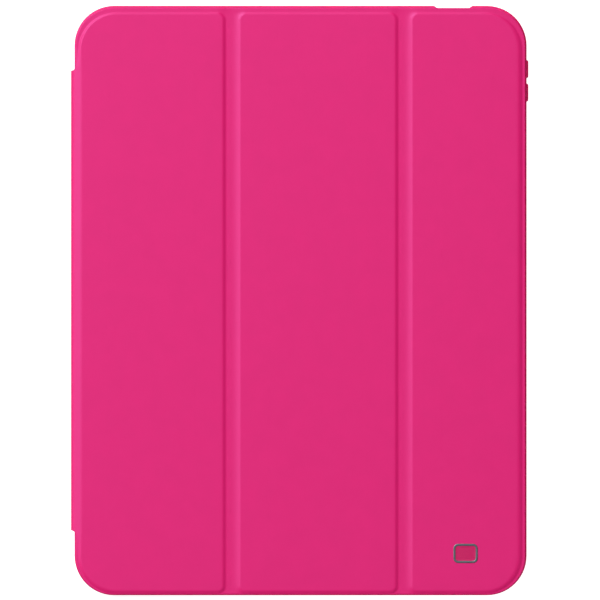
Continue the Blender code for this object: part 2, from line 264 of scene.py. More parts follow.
def finish_piece(piece, look, sharp=38):
    """Smooth shading up to an angle, the rest position for the textures, and the material."""
    mesh = piece.data
    mesh.shade_smooth()
    mesh.set_sharp_from_angle(angle=math.radians(sharp))
    places = np.empty(len(mesh.vertices) * 3)
    mesh.vertices.foreach_get("co", places)
    rest = mesh.attributes.new("rest", "FLOAT_VECTOR", "POINT")
    rest.data.foreach_set("vector", places)
    mesh.materials.clear()
    mesh.materials.append(look)
    return piece


def rounded_distance(x, y, box, radii):
    """Distance inside a rounded rectangle, negative outside, and the nearest edge's normal."""
    x0, x1, y0, y1 = box
    cx = (x0 + x1) / 2
    cy = (y0 + y1) / 2
    right = x > cx
    upper = y > cy
    r = np.where(right, np.where(upper, radii[2], radii[1]), np.where(upper, radii[3], radii[0]))
    sx = np.where(right, 1.0, -1.0)
    sy = np.where(upper, 1.0, -1.0)
    qx = np.abs(x - cx) - ((x1 - x0) / 2 - r)
    qy = np.abs(y - cy) - ((y1 - y0) / 2 - r)
    both = (qx > 0) & (qy > 0)
    far = np.hypot(np.maximum(qx, 0), np.maximum(qy, 0))
    safe = np.where(far > 1e-9, far, 1.0)
    s = np.where(both, r - far, r - np.maximum(qx, qy))
    nx = np.where(both, qx / safe, np.where(qx > qy, 1.0, 0.0)) * sx
    ny = np.where(both, qy / safe, np.where(qx > qy, 0.0, 1.0)) * sy
    return s, nx, ny


# ---------------------------------------------------------------- the cover's surface

PAD_RADII = {1: (PAD_OUTER_CORNER, PAD_FOLD_CORNER, PAD_FOLD_CORNER, PAD_OUTER_CORNER),
             2: (PAD_FOLD_CORNER,) * 4,
             3: (PAD_FOLD_CORNER, PAD_OUTER_CORNER, PAD_OUTER_CORNER, PAD_FOLD_CORNER)}
COVER_BOX = (COVER_LEFT, COVER_RIGHT, COVER_BOTTOM, COVER_TOP)


def edge_widths(number, nx, ny, y):
    """How wide a pad's edge curves, rounding down and hollowing out, how far it falls, and how
    fast the hollow flattens."""
    left = np.maximum(-nx, 0) ** 2
    right = np.maximum(nx, 0) ** 2
    upper = np.maximum(ny, 0) ** 2
    lower = np.maximum(-ny, 0) ** 2
    convex = EDGE_RIGHT[0] * right + EDGE_UPPER[0] * upper + EDGE_LOWER[0] * lower
    concave = EDGE_RIGHT[1] * right + EDGE_UPPER[1] * upper + EDGE_LOWER[1] * lower
    drop = PAD_RAISE - DROP_UPPER * upper ** 2
    power = np.ones(np.shape(nx))
    if number == 1:
        tab = np.clip((TAB_HALF + TAB_FLARE + 2.0 - np.abs(y)) / 4.0, 0, 1)
        tab = tab * tab * (3 - 2 * tab)
        convex = convex + (EDGE_SPINE[0] + EDGE_SPINE_STRIP[0] * tab) * left
        concave = concave + (EDGE_SPINE[1] + EDGE_SPINE_STRIP[1] * tab * left) * left
        drop = drop + DROP_STRIP * tab * left ** 2
    else:
        convex = convex + EDGE_FOLD[0] * left
        concave = concave + EDGE_FOLD[1] * left
        power = power + left
    if number == 3:
        convex = convex + EDGE_FREE[0] * right
        concave = concave + EDGE_FREE[1] * right
        drop = drop + DROP_FREE * right ** 2
    return convex, concave, drop, power


def cover_height(x, y):
    """Height of the cover's outer face."""
    x = np.asarray(x, float)
    y = np.asarray(y, float)
    number = np.where(x < FOLDS[1], 1, np.where(x < FOLDS[2], 2, 3))
    z = np.full(x.shape, GROOVE_TOP)
    for n in (1, 2, 3):
        s, nx, ny = rounded_distance(x, y, pads[n], PAD_RADII[n])
        convex, concave, drop, power = edge_widths(n, nx, ny, y)
        steep = drop / (convex / 2 + concave / (power + 1))
        over = PAD_RAISE - steep * (convex - s) ** 2 / (2 * convex)
        fade = np.clip(1 + s / concave, 0, 1) ** (power + 1)
        under = PAD_RAISE - drop + steep * concave / (power + 1) * fade
        rise = np.where(s >= convex, PAD_RAISE,
                        np.where(s >= 0, over, np.where(s > -concave, under, PAD_RAISE - drop)))
        inward = np.clip(s / CROWN_REACH, 0, 1)
        rise = rise + CROWN * inward * (2 - inward)
        z = np.where(number == n, GROOVE_TOP + rise, z)
    edge, nx, ny = rounded_distance(x, y, COVER_BOX, (COVER_CORNER,) * 4)
    joined = (x < COVER_LEFT + 2) & (np.abs(y) < TAB_HALF + TAB_FLARE - 0.5)
    near = np.where(joined, COVER_EDGE_ROUND, np.clip(edge, 0, COVER_EDGE_ROUND))
    fall = COVER_EDGE_ROUND - np.sqrt(COVER_EDGE_ROUND ** 2 - (COVER_EDGE_ROUND - near) ** 2)
    return z - fall


def panel_limits(number):
    """Where a panel's own piece starts and ends across the case."""
    low = COVER_LEFT if number == 1 else pads[number][0] - GROOVE_LAP_LEFT
    high = COVER_RIGHT if number == 3 else pads[number][1] + GROOVE_LAP_RIGHT
    return low, high


def inside_panel(x, y, low, high):
    """Distance inside a panel piece's outline, negative outside."""
    s, _, _ = rounded_distance(x, y, COVER_BOX, (COVER_CORNER,) * 4)
    return np.minimum(s, np.minimum(x - low, high - x))


def panel_sides(number):
    """Places of the points along a pad's sides, close together where the spine strip ends."""
    x0, x1, y0, y1 = pads[number]
    left = even(20)
    if number == 1:
        start = y1 - PAD_OUTER_CORNER
        end = y0 + PAD_OUTER_CORNER
        turn = TAB_HALF + TAB_FLARE
        places = [turn + 0.7, turn, turn - 0.5, turn - 1.0]
        places += list(np.linspace(turn - 12, -(turn - 12), 14))
        places += [-(turn - 1.0), -(turn - 0.5), -turn, -(turn + 0.7)]
        left = [(start - p) / (start - end) for p in places]
    return [even(9), even(20), even(9), left]


def make_cover_panel(number, look):
    """One padded panel of the cover's skin, as a shell with a pocket for its board."""
    x0, x1, y0, y1 = pads[number]
    low, high = panel_limits(number)
    sides = panel_sides(number)
    radii = PAD_RADII[number]
    outline, normals = ring(x0, x1, y0, y1, radii, sides)

    near = np.zeros(len(outline))
    far = np.full(len(outline), 12.0)
    for _ in range(40):
        middle = (near + far) / 2
        tested = outline + normals * middle[:, None]
        within = inside_panel(tested[:, 0], tested[:, 1], low, high) > 0
        near = np.where(within, middle, near)
        far = np.where(within, far, middle)
    border = outline + normals * near[:, None]
    sharp_x = [v for v in (low, high) if COVER_LEFT < v < COVER_RIGHT]
    for cx in sharp_x:
        for cy in (COVER_BOTTOM, COVER_TOP):
            border[np.argmin(np.hypot(border[:, 0] - cx, border[:, 1] - cy))] = (cx, cy)
    reach = np.linalg.norm(border - outline, axis=1)
    outward = (border - outline) / reach[:, None]
    edge, _, _ = rounded_distance(border[:, 0], border[:, 1], COVER_BOX, (COVER_CORNER,) * 4)
    last = np.where(edge < 0.02, COVER_EDGE_ROUND, 0.06)
    last = np.minimum(last, reach * 0.4)
    convex, concave, _, _ = edge_widths(number, normals[:, 0], normals[:, 1], outline[:, 1])
    hollow = np.minimum(concave, reach - last * 1.4)

    rings = []
    for inset in (24.0, 15.0, 8.0, 4.0, 2.6):
        inner = [max(r - inset, 0.6) for r in radii]
        points, _ = ring(x0 + inset, x1 - inset, y0 + inset, y1 - inset, inner, sides)
        rings.append(points)
    for part in (1.2, 1.0, 0.82, 0.64, 0.46, 0.3, 0.15, 0.0):
        rings.append(outline - normals * (convex * part)[:, None])
    for part in (0.16, 0.33, 0.5, 0.66, 0.83, 1.0):
        rings.append(outline + outward * (hollow * part)[:, None])
    for part in (1.25, 1.0, 0.7, 0.45, 0.25, 0.1, 0.02, 0.0):
        rings.append(border - outward * (last * part)[:, None])
    rings = [np.column_stack([r, cover_height(r[:, 0], r[:, 1])]) for r in rings]
    rings.append(level_ring(border, SKIN_BOTTOM + 0.12))
    rings.append(level_ring(border - outward * (last * 0.4)[:, None], SKIN_BOTTOM))
    pocket = [max(r - POCKET_INSET, 0.6) for r in radii]
    mouth, _ = ring(x0 + POCKET_INSET, x1 - POCKET_INSET, y0 + POCKET_INSET, y1 - POCKET_INSET,
                    pocket, sides)
    rings.append(level_ring(mouth, SKIN_BOTTOM))
    rings.append(level_ring(mouth, POCKET_TOP))
    points, faces = loft(rings)
    piece = make_mesh(f"panel_{number}_cover", points, faces)
    finish_piece(piece, look)
    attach(piece, f"panel_{number}")
    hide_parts(f"panel_{number}_skin")
    return piece


def row_places(start, end, ends, count=32):
    """Places along a strip, close together at both ends."""
    middle = np.linspace(start + ends[-1], end - ends[-1], count)
    return np.concatenate([start + np.array(ends[:-1]), middle,
                           end - np.array(ends[:-1])[::-1]])


def make_groove(number, look):
    """The stretch of skin in a fold groove."""
    low = pads[number][1] + GROOVE_LAP_RIGHT
    high = pads[number + 1][0] - GROOVE_LAP_LEFT
    y = row_places(COVER_BOTTOM, COVER_TOP,
                   [0, 0.02, 0.08, 0.18, 0.35, 0.8, 1.5, 2.3, 3.2, 4.5], 44)
    rings = []
    for x in np.linspace(low, high, 17):
        top = cover_height(np.full(len(y), x), y)
        upper = np.column_stack([np.full(len(y), x), y, top])
        lower = np.column_stack([np.full(len(y), x), y, np.full(len(y), SKIN_BOTTOM)])
        rings.append(np.concatenate([upper, lower[::-1]]))
    points, faces = loft(rings)
    piece = make_mesh(f"groove_{number}", points, faces)
    finish_piece(piece, look)
    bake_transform(piece)
    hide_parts(f"panel_{number}_skin", f"panel_{number + 1}_skin")
    return piece


def sheet_strip(name, section, half_length, thickness, soft_edge=0.3):
    """A bent sheet that follows a section in x and z, outer face first, with rounded long ends.
    half_length gives half the sheet's length at an x."""
    section = np.array(section, float)
    along = np.gradient(section, axis=0)
    along /= np.linalg.norm(along, axis=1)[:, None]
    inward = np.column_stack([-along[:, 1], along[:, 0]])
    ends = [0, 0.015, 0.06, 0.14, soft_edge, 0.9]
    rings = []
    for (x, z), (ix, iz) in zip(section, inward):
        half = half_length(x)
        y = row_places(-half, half, ends)
        edge = np.clip(half - np.abs(y), 0, soft_edge)
        fall = soft_edge - np.sqrt(soft_edge ** 2 - (soft_edge - edge) ** 2)
        outer = np.column_stack([x + ix * fall, y, z + iz * fall])
        deep = np.full(len(y), thickness)
        inner = np.column_stack([x + ix * deep, y, z + iz * deep])
        rings.append(np.concatenate([outer, inner[::-1]]))
    points, faces = loft(rings)
    return make_mesh(name, points, faces)


def arc(cx, cz, radius, start, end, steps):
    """Points on an arc in x and z, from one angle to another, in degrees."""
    angles = np.radians(np.linspace(start, end, steps + 1))
    return [(cx + radius * math.cos(a), cz + radius * math.sin(a)) for a in angles]


def make_spine(skin_look, lining_look):
    """The spine strip's skin and lining, with the bends that join them to the cover and flap."""
    left = spine_low[0]
    slope = math.degrees(TOP_WRAP_SLOPE)
    centre_x = left + TOP_WRAP_RADIUS
    join_z = float(cover_height(COVER_LEFT, 0.0))
    centre_z = join_z - TOP_WRAP_RADIUS * math.cos(TOP_WRAP_SLOPE)
    back_x = left + BACK_WRAP_RADIUS

    def tab_half(x):
        hollow = TAB_FLARE ** 2 - min(x - left, TAB_FLARE) ** 2
        return TAB_HALF + TAB_FLARE - math.sqrt(max(hollow, 0))

    top = arc(centre_x, centre_z, TOP_WRAP_RADIUS, 180, 90 + slope, 14)
    wrap = sheet_strip("spine_top_wrap", top[::-1], tab_half, SHEET)
    finish_piece(wrap, skin_look)
    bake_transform(wrap)
    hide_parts("spine_skin", "panel_1_skin")

    upright = [(left, z) for z in np.linspace(centre_z, BACK_WRAP_RADIUS, 7)]
    skin = sheet_strip("spine_strip", upright, lambda x: TAB_HALF, SHEET)
    finish_piece(skin, skin_look)
    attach(skin, "spine")
    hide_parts("spine_skin")

    turn = arc(back_x, BACK_WRAP_RADIUS, BACK_WRAP_RADIUS, 180, 270, 14)
    back = sheet_strip("spine_back_wrap", turn, lambda x: TAB_HALF, SHEET)
    finish_piece(back, skin_look)
    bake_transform(back)
    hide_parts("spine_skin", "back_flap_skin")

    sides = [even(4), even(16), even(4), even(16)]
    radii = (0.1, FLAP_CORNER, FLAP_CORNER, 0.1)
    rings = []
    for inset, z in ((0.12, 0.0), (0.02, 0.08), (0.0, 0.18), (0.0, 0.5), (0.1, SHEET)):
        points, _ = ring(back_x, flap_high[0] - inset, -TAB_HALF + inset, TAB_HALF - inset,
                         radii, sides)
        rings.append(level_ring(points, z))
    points, faces = loft(rings)
    flap = make_mesh("flap", points, faces)
    finish_piece(flap, skin_look)
    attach(flap, "shell")
    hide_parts("back_flap_skin")

    turn_x = lining_low[0] + LINING_WRAP_RADIUS
    turn_z = LINING_TOP - LINING_WRAP_RADIUS
    thick = lining_high[0] - lining_low[0]
    half = TAB_HALF - 0.3
    upright = [(lining_low[0], z) for z in np.linspace(LINING_BEND_START, 0.25, 7)]
    inner = sheet_strip("spine_inner_lining", upright, lambda x: half, thick, soft_edge=0.15)
    finish_piece(inner, lining_look)
    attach(inner, "spine")
    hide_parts("spine_lining")
    bend = [(turn_x + 0.5, LINING_TOP)] + arc(turn_x, turn_z, LINING_WRAP_RADIUS, 90, 180, 10)
    bend = bend + [(lining_low[0], z) for z in (7.2, LINING_BEND_START)]
    soft = sheet_strip("spine_top_lining", bend, lambda x: half, thick, soft_edge=0.15)
    finish_piece(soft, lining_look)
    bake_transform(soft)
    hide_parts("spine_lining", "panel_1_lining")
    return wrap, skin, back, flap, inner, soft


LINING_BOTTOM, LINING_TOP = (node_box("panel_2_lining")[k][2] for k in (0, 1))


def make_lining(number, look):
    """The soft lining under one panel."""
    low, high = panel_limits(number)
    low = low + (LINING_INSET if number == 1 else 0.0)
    high = high - (LINING_INSET if number == 3 else 0.0)
    if number == 1:
        low = lining_low[0] + LINING_WRAP_RADIUS + 0.5
    corner = COVER_CORNER - LINING_INSET
    radii = (corner if number == 1 else 0.1, corner if number == 3 else 0.1,
             corner if number == 3 else 0.1, corner if number == 1 else 0.1)
    rings = []
    for inset, z in ((0.12, LINING_BOTTOM), (0.0, LINING_BOTTOM + 0.12),
                     (0.0, LINING_TOP - 0.12), (0.12, LINING_TOP)):
        points, _ = ring(low, high, COVER_BOTTOM + LINING_INSET + inset,
                         COVER_TOP - LINING_INSET - inset, radii,
                         [even(6), even(20), even(6), even(20)])
        rings.append(level_ring(points, z))
    points, faces = loft(rings)
    piece = make_mesh(f"panel_{number}_inner_lining", points, faces)
    finish_piece(piece, look)
    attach(piece, f"panel_{number}")
    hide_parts(f"panel_{number}_lining")
    return piece


def make_fold_lining(number, look):
    """The lining across a fold groove, pressed in a little."""
    low = pads[number][1] + GROOVE_LAP_RIGHT
    high = pads[number + 1][0] - GROOVE_LAP_LEFT
    start = COVER_BOTTOM + LINING_INSET
    end = COVER_TOP - LINING_INSET
    y = row_places(start, end, [0, 0.05, 0.15, 0.9])
    rings = []
    for x in np.linspace(low, high, 15):
        reach = math.sin(math.pi * (x - low) / (high - low))
        bottom = LINING_BOTTOM + 0.15 * min(1.0, 2 * reach)
        edge = np.clip(np.minimum(y - start, end - y), 0, 0.15)
        fall = 0.15 - np.sqrt(0.15 ** 2 - (0.15 - edge) ** 2)
        lower = np.column_stack([np.full(len(y), x), y, bottom + fall * 0.6])
        upper = np.column_stack([np.full(len(y), x), y, np.full(len(y), LINING_TOP)])
        rings.append(np.concatenate([upper, lower[::-1]]))
    points, faces = loft(rings)
    piece = make_mesh(f"fold_{number}_inner_lining", points, faces)
    finish_piece(piece, look)
    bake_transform(piece)
    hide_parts(f"panel_{number}_lining", f"panel_{number + 1}_lining")
    return piece


# ---------------------------------------------------------------- the tray

def centred_ring(cx, cy, width, height, radius, grow=0.0, sides=None):
    """A ring round a centre, grown outwards by a distance."""
    points, _ = ring(cx - width / 2 - grow, cx + width / 2 + grow, cy - height / 2 - grow,
                     cy + height / 2 + grow, (max(radius + grow, 0.05),) * 4,
                     sides or [even(1)] * 4)
    return points


def facing(points, depth, direction):
    """Places a flat ring upright: x stays across for y, or runs along y for x."""
    across = points[:, 0]
    up = points[:, 1]
    deep = np.full(len(points), float(depth))
    if direction == "y":
        return np.column_stack([across, deep, up])
    return np.column_stack([deep, across, up])


def cut(target, name, rings):
    """Cuts a lofted solid out of the target."""
    points, faces = loft(rings)
    tool = make_mesh(name, points, faces)
    step = target.modifiers.new("cut", "BOOLEAN")
    step.operation = "DIFFERENCE"
    step.solver = "EXACT"
    step.object = tool
    bpy.context.view_layer.update()
    changed = bpy.data.meshes.new_from_object(
        target.evaluated_get(bpy.context.evaluated_depsgraph_get()))
    target.modifiers.clear()
    target.data = changed
    bpy.data.objects.remove(tool)


def side_cut(target, name, across, width, height, radius, surface, inner, direction):
    """A hole through an upright wall, with its outer edge eased."""
    outwards = 1.0 if surface > inner else -1.0
    rings = []
    for depth, grow in ((inner, 0.0), (surface - outwards * 0.35, 0.0),
                        (surface - outwards * 0.22, 0.03), (surface - outwards * 0.1, 0.12),
                        (surface, 0.34), (surface + outwards * 2.0, 2.0)):
        points = centred_ring(across, SIDE_HOLE_Z, width, height, radius, grow)
        rings.append(facing(points, depth, direction))
    cut(target, name, rings)


def make_tray(look):
    """The moulded tray: rounded back and rim, lip over the tablet, and all its openings."""
    x0, x1 = tray_low[0], tray_high[0]
    y0, y1 = tray_low[1], tray_high[1]
    cx, cy = tray_centre[0], tray_centre[1]
    top = tray_high[2]
    sides = [even(6), even(8), even(6), even(8)]

    def outer(inset, z):
        points, _ = ring(x0 + inset, x1 - inset, y0 + inset, y1 - inset,
                         (TRAY_CORNER - inset,) * 4, sides)
        return level_ring(points, z)

    def inner(inset, z):
        return level_ring(centred_ring(cx, cy, CAVITY_WIDTH, CAVITY_LENGTH, CAVITY_CORNER,
                                       -inset, sides), z)

    rings = []
    for k in range(9):
        angle = math.radians(90 * k / 8)
        rings.append(outer(BACK_ROUND * (1 - math.sin(angle)), BACK_ROUND * (1 - math.cos(angle))))
    for k in range(7):
        angle = math.radians(90 * k / 6)
        rings.append(outer(RIM_ROUND * (1 - math.cos(angle)),
                           top - RIM_ROUND * (1 - math.sin(angle))))
    for k in range(4):
        angle = math.radians(90 * k / 3)
        rings.append(inner(LIP_OVERHANG - 0.3 * (1 - math.sin(angle)),
                           top - 0.3 * (1 - math.cos(angle))))
    rings.append(inner(LIP_OVERHANG, CAVITY_TOP + 0.15))
    rings.append(inner(LIP_OVERHANG - 0.15, CAVITY_TOP))
    rings.append(inner(0.0, CAVITY_TOP))
    rings.append(inner(0.0, BACK_THICKNESS + 0.5))
    rings.append(inner(0.15, BACK_THICKNESS + 0.15))
    rings.append(inner(0.5, BACK_THICKNESS))
    points, faces = loft(rings)
    tray = make_mesh("tray", points, faces)

    camera_x = x1 - CAMERA_INSET
    camera_y = y1 - CAMERA_INSET
    rings = []
    for z, grow in ((-2.0, 2.5), (0.0, 0.5), (0.12, 0.2), (0.3, 0.05), (0.5, 0.0), (1.1, 0.0),
                    (1.35, 0.08), (1.5, 0.25), (3.0, 1.5)):
        rings.append(level_ring(centred_ring(camera_x, camera_y, CAMERA_SIDE, CAMERA_SIDE,
                                             CAMERA_CORNER, grow), z))
    cut(tray, "cut_camera", rings)

    notch = []
    for across, back in ((-1.0, -2.0), (-1.0, 0.0), (-0.97, 0.12), (-0.92, 0.45), (-0.85, 0.9),
                         (-0.8, 1.12), (-0.74, 1.2), (0.74, 1.2), (0.8, 1.12), (0.85, 0.9),
                         (0.92, 0.45), (0.97, 0.12), (1.0, 0.0), (1.0, -2.0)):
        notch.append((cx + KEY_X + across * KEY_MOUTH / 2, y1 - back * KEY_DEPTH / 1.2))
    notch = np.array(notch)
    cut(tray, "cut_key_notch", [level_ring(notch, -2.0), level_ring(notch, top + 2.0)])

    inner_y = CAVITY_LENGTH / 2 - SIDE_HOLE_REACH
    side_cut(tray, "cut_key", cx + KEY_X, KEY_SLOT, SIDE_HOLE_HEIGHT, KEY_SLOT_CORNER,
             cy + y1 - KEY_DEPTH, cy + inner_y, "y")
    side_cut(tray, "cut_port", cx, PORT_WIDTH, SIDE_HOLE_HEIGHT, PORT_CORNER, y0, cy - inner_y,
             "y")
    for k, x in enumerate((-SPEAKER_X, SPEAKER_X)):
        side_cut(tray, f"cut_speaker_{k}", cx + x, SPEAKER_WIDTH, SPEAKER_HEIGHT,
                 SPEAKER_CORNER, y0, cy - inner_y, "y")
    for k, x in enumerate((-SPEAKER_X, TOP_SPEAKER_X)):
        side_cut(tray, f"cut_top_speaker_{k}", cx + x, SPEAKER_WIDTH, SPEAKER_HEIGHT,
                 SPEAKER_CORNER, y1, cy + inner_y, "y")
    for name in ("volume_up_button", "volume_down_button"):
        low, high = node_box(name)
        side_cut(tray, "cut_" + name, (low[1] + high[1]) / 2, high[1] - low[1] + BUTTON_GAP,
                 high[2] - low[2] + BUTTON_GAP, BUTTON_CORNER + BUTTON_GAP / 2, x1,
                 cx + CAVITY_WIDTH / 2 - SIDE_HOLE_REACH, "x")

    rings = []
    for depth, grow in ((STYLUS_DEPTH, -0.15), (STYLUS_DEPTH - 0.05, -0.03), (0.1, 0.0),
                        (0.0, 0.12), (-2.0, 0.12)):
        points = centred_ring((STYLUS_LOW + STYLUS_HIGH) / 2, SIDE_HOLE_Z,
                              STYLUS_HIGH - STYLUS_LOW, STYLUS_HEIGHT, 1.2, grow)
        rings.append(facing(points, x1 - depth, "x"))
    cut(tray, "cut_stylus", rings)

    rings = []
    seat_sides = [even(1)] * 4
    for z, grow in ((-2.0, 0.2), (0.0, 0.12), (0.12, 0.0), (SEAT_DEPTH, 0.0)):
        points, _ = ring(x0 - 3.0, flap_high[0] + SEAT_GAP + grow, -TAB_HALF - SEAT_GAP - grow,
                         TAB_HALF + SEAT_GAP + grow, (0.1, FLAP_CORNER, FLAP_CORNER, 0.1),
                         seat_sides)
        rings.append(level_ring(points, z))
    cut(tray, "cut_seat", rings)

    finish_piece(tray, look, 40)
    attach(tray, "shell")
    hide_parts("back_shell")
    return tray


def make_button(name, body, look):
    """A volume button: a soft bar with a domed face and a shallow dished top."""
    low, high = node_box(name)
    cy = (low[1] + high[1]) / 2
    cz = (low[2] + high[2]) / 2
    length = high[1] - low[1]
    height = high[2] - low[2]
    rings = []
    for depth, inset in ((2.3, 0.25), (2.1, 0.0), (0.85, 0.0), (0.6, 0.05), (0.36, 0.18),
                         (0.16, 0.4), (0.04, 0.72), (0.0, 1.1), (0.02, 1.45), (0.07, 1.7)):
        points = centred_ring(cy, cz, length, height, BUTTON_CORNER, -inset)
        rings.append(facing(points, high[0] - depth, "x"))
    points, faces = loft(rings)
    piece = make_mesh(name.replace("_button", "_key"), points, faces)
    finish_piece(piece, look, 50)
    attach(piece, body)
    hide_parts(name)
    return piece


def make_badge(look):
    """A plain metal plate with a raised rim and a sunk field."""
    low, high = node_box("front_badge")
    cx, cy = (low[0] + high[0]) / 2, (low[1] + high[1]) / 2
    width, height = high[0] - low[0], high[1] - low[1]
    rings = []
    for z, inset in ((low[2], 0.1), (low[2] + 0.1, 0.0), (high[2] - 0.16, 0.0),
                     (high[2] - 0.08, 0.03), (high[2] - 0.02, 0.1), (high[2], 0.2),
                     (high[2], BADGE_RIM - 0.16), (high[2] - 0.03, BADGE_RIM - 0.06),
                     (high[2] - BADGE_FIELD_DEPTH + 0.02, BADGE_RIM + 0.02),
                     (high[2] - BADGE_FIELD_DEPTH, BADGE_RIM + 0.12),
                     (high[2] - BADGE_FIELD_DEPTH + 0.03, BADGE_RIM + 1.2)):
        rings.append(level_ring(centred_ring(cx, cy, width, height, BADGE_CORNER, -inset,
                                             [even(2)] * 4), z))
    points, faces = loft(rings)
    piece = make_mesh("badge_plate", points, faces)
    finish_piece(piece, look, 30)
    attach(piece, "panel_3")
    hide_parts("front_badge")
    return piece


# ---------------------------------------------------------------- materials

def new_material(name, colour, roughness, rest=True):
    """A material with its shader, and the vector that its textures read."""
    material = bpy.data.materials.new(name)
    material.use_nodes = True
    nodes = material.node_tree.nodes
    shader = nodes["Principled BSDF"]
    shader.inputs["Base Color"].default_value = (*colour, 1)
    shader.inputs["Roughness"].default_value = roughness
    if rest:
        source = nodes.new("ShaderNodeAttribute")
        source.attribute_name = "rest"
        place = source.outputs["Vector"]
    else:
        source = nodes.new("ShaderNodeTexCoord")
        place = source.outputs["Object"]
    return material, shader, place


def noise(material, place, size, detail=3.0, roughness=0.5, stretch=None):
    """A noise texture whose features are about size millimetres."""
    tree = material.node_tree
    texture = tree.nodes.new("ShaderNodeTexNoise")
    texture.inputs["Scale"].default_value = 1.0 / (size * MM)
    texture.inputs["Detail"].default_value = detail
    texture.inputs["Roughness"].default_value = roughness
    if stretch:
        mapping = tree.nodes.new("ShaderNodeMapping")
        mapping.inputs["Scale"].default_value = stretch
        tree.links.new(place, mapping.inputs["Vector"])
        place = mapping.outputs["Vector"]
    tree.links.new(place, texture.inputs["Vector"])
    return texture.outputs["Fac"]


def cells(material, place, size, feature="DISTANCE_TO_EDGE"):
    """A cell texture whose cells are about size millimetres."""
    tree = material.node_tree
    texture = tree.nodes.new("ShaderNodeTexVoronoi")
    texture.feature = feature
    texture.inputs["Scale"].default_value = 1.0 / (size * MM)
    tree.links.new(place, texture.inputs["Vector"])
    return texture.outputs["Distance"]


def spread(material, value, low_in, high_in, low, high):
    """Maps a value to a range."""
    tree = material.node_tree
    node = tree.nodes.new("ShaderNodeMapRange")
    node.inputs["From Min"].default_value = low_in
    node.inputs["From Max"].default_value = high_in
    node.inputs["To Min"].default_value = low
    node.inputs["To Max"].default_value = high
    tree.links.new(value, node.inputs["Value"])
    return node.outputs["Result"]


def tint(material, value, dark, light):
    """Mixes two colours by a value from 0 to 1."""
    tree = material.node_tree
    ramp = tree.nodes.new("ShaderNodeValToRGB")
    ramp.color_ramp.elements[0].color = (*dark, 1)
    ramp.color_ramp.elements[1].color = (*light, 1)
    tree.links.new(value, ramp.inputs["Fac"])
    return ramp.outputs["Color"]


def bump(material, height, distance, strength=1.0, below=None):
    """A bump in millimetres, on top of another bump."""
    tree = material.node_tree
    node = tree.nodes.new("ShaderNodeBump")
    node.inputs["Distance"].default_value = distance * MM
    node.inputs["Strength"].default_value = strength
    tree.links.new(height, node.inputs["Height"])
    if below is not None:
        tree.links.new(below, node.inputs["Normal"])
    return node.outputs["Normal"]


def scaled(colour, factor):
    """A colour made darker or lighter."""
    return tuple(min(1.0, c * factor) for c in colour)


SKIN_COLOUR = (0.691, 0.0062, 0.137)
TRAY_COLOUR = (0.665, 0.0060, 0.130)
LINING_COLOUR = (0.56, 0.022, 0.135)
GLOSS_LEVEL = 0.80
GLOSS_TINT = (0.65, 0.42, 1.0, 1.0)


def set_gloss(shader):
    """The tinted satin gloss that the skin and the tray share."""
    shader.inputs["Specular IOR Level"].default_value = GLOSS_LEVEL
    shader.inputs["Specular Tint"].default_value = GLOSS_TINT


def skin_material():
    """Soft-touch coated polyurethane with a very fine grain."""
    material, shader, place = new_material("cover skin", SKIN_COLOUR, 0.5)
    link = material.node_tree.links.new
    cloud = noise(material, place, 9.0, 3.0)
    link(tint(material, spread(material, cloud, 0.3, 0.7, 0.0, 1.0),
              scaled(SKIN_COLOUR, 0.985), scaled(SKIN_COLOUR, 1.015)), shader.inputs["Base Color"])
    link(spread(material, noise(material, place, 2.5, 4.0), 0.3, 0.7, 0.45, 0.49),
         shader.inputs["Roughness"])
    grain = spread(material, cells(material, place, 0.42), 0.0, 0.35, 0.0, 1.0)
    normal = bump(material, grain, 0.008, 0.5)
    normal = bump(material, noise(material, place, 0.16, 2.0), 0.006, 0.5, normal)
    link(normal, shader.inputs["Normal"])
    set_gloss(shader)
    return material


def tray_material():
    """Soft moulded elastomer with a satin face."""
    material, shader, place = new_material("moulded tray", TRAY_COLOUR, 0.46)
    link = material.node_tree.links.new
    link(tint(material, spread(material, noise(material, place, 14.0, 3.0), 0.3, 0.7, 0.0, 1.0),
              scaled(TRAY_COLOUR, 0.97), scaled(TRAY_COLOUR, 1.03)), shader.inputs["Base Color"])
    link(spread(material, noise(material, place, 3.0, 4.0), 0.3, 0.7, 0.46, 0.54),
         shader.inputs["Roughness"])
    normal = bump(material, noise(material, place, 0.22, 3.0), 0.012, 0.5)
    link(normal, shader.inputs["Normal"])
    shader.inputs["Subsurface Weight"].default_value = 0.6
    shader.inputs["Subsurface Radius"].default_value = (1.0, 0.15, 0.3)
    shader.inputs["Subsurface Scale"].default_value = 0.004
    shader.inputs["Specular IOR Level"].default_value = 0.88
    shader.inputs["Specular Tint"].default_value = (0.65, 0.42, 1.0, 1.0)
    return material


def lining_material():
    """Brushed microfibre."""
    material, shader, place = new_material("microfibre lining", LINING_COLOUR, 0.9)
    link = material.node_tree.links.new
    nap = noise(material, place, 0.5, 4.0, 0.6, (1.0, 0.35, 1.0))
    drift = noise(material, place, 12.0, 3.0)
    tree = material.node_tree
    total = tree.nodes.new("ShaderNodeMath")
    total.operation = "ADD"
    link(spread(material, nap, 0.3, 0.7, 0.0, 0.6), total.inputs[0])
    link(spread(material, drift, 0.3, 0.7, 0.0, 0.4), total.inputs[1])
    link(tint(material, total.outputs["Value"], scaled(LINING_COLOUR, 0.82),
              scaled(LINING_COLOUR, 1.15)), shader.inputs["Base Color"])
    normal = bump(material, nap, 0.05, 0.6)
    normal = bump(material, noise(material, place, 0.12, 2.0), 0.03, 0.6, normal)
    link(normal, shader.inputs["Normal"])
    shader.inputs["Sheen Weight"].default_value = 0.22
    shader.inputs["Sheen Roughness"].default_value = 0.4
    shader.inputs["Sheen Tint"].default_value = (1.0, 0.42, 0.68, 1.0)
    shader.inputs["Specular IOR Level"].default_value = 0.2
    return material


